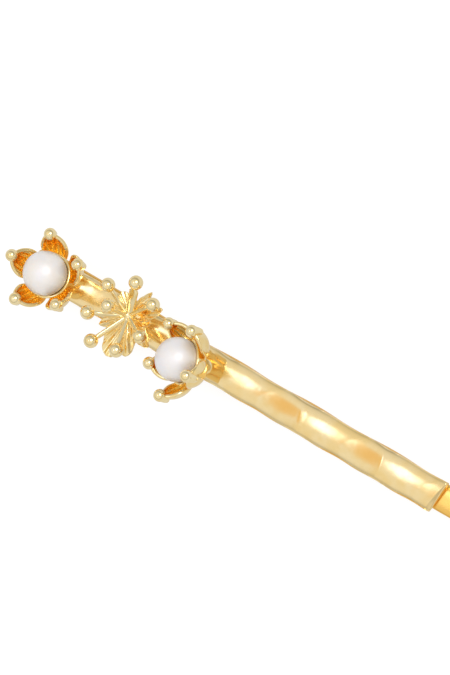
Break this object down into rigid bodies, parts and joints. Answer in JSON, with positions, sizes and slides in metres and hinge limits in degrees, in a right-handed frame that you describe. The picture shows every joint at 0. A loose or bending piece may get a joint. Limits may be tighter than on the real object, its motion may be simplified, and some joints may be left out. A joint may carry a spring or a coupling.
{
  "type": "decorative hair pin",
  "caption": "Sprung hair pin with a hammered gilt front leg that carries pearl flowers and a star of balled stamens.",
  "frame": {"origin": "under the middle of the bend, in the plane that the back leg's flat land rests on", "axes": "+X along the pin from the bend to the open end, +Y across the pin, +Z out of the hammered face"},
  "size_m": [0.0528, 0.0088, 0.0092],
  "materials": {
    "gold_strip": "gold plated, hammered on the front leg, satin polish",
    "gold_cast": "gold plated casting, bright on the outside, finely ribbed inside the petals",
    "pearl": "pearl lustre, soft gloss"
  },
  "bodies": {
    "back": {"back_leg": "gold_strip", "bend": "gold_strip"},
    "front": {"end_beads": "gold_cast", "end_cup": "gold_cast", "end_foot": "gold_cast", "end_pearl": "pearl", "end_peg": "gold_cast", "end_petal_1": "gold_cast", "end_petal_2": "gold_cast", "end_petal_3": "gold_cast", "end_petal_4": "gold_cast", "end_petal_5": "gold_cast", "front_leg": "gold_strip", "inner_beads": "gold_cast", "inner_cup": "gold_cast", "inner_foot": "gold_cast", "inner_pearl": "pearl", "inner_peg": "gold_cast", "inner_petal_1": "gold_cast", "inner_petal_2": "gold_cast", "inner_petal_3": "gold_cast", "inner_petal_4": "gold_cast", "inner_petal_5": "gold_cast", "star_foot": "gold_cast", "star_hub": "gold_cast", "star_rosette": "gold_cast", "star_stamen_1": "gold_cast", "star_stamen_2": "gold_cast", "star_stamen_3": "gold_cast", "star_stamen_4": "gold_cast", "star_stamen_5": "gold_cast", "star_stamen_6": "gold_cast", "star_stamen_7": "gold_cast", "star_stamen_8": "gold_cast"}
  },
  "joints": [
    {"name": "front_leg_spring", "type": "hinge", "parent": "back", "child": "front", "pos_m": [0, 0, 0.0016], "axis": [0, -1, 0], "range_deg": [0, 8], "stiffness_Nm_per_rad": 0.8, "springref_deg": -2.86, "deforming": ["bend"]}
  ]
}
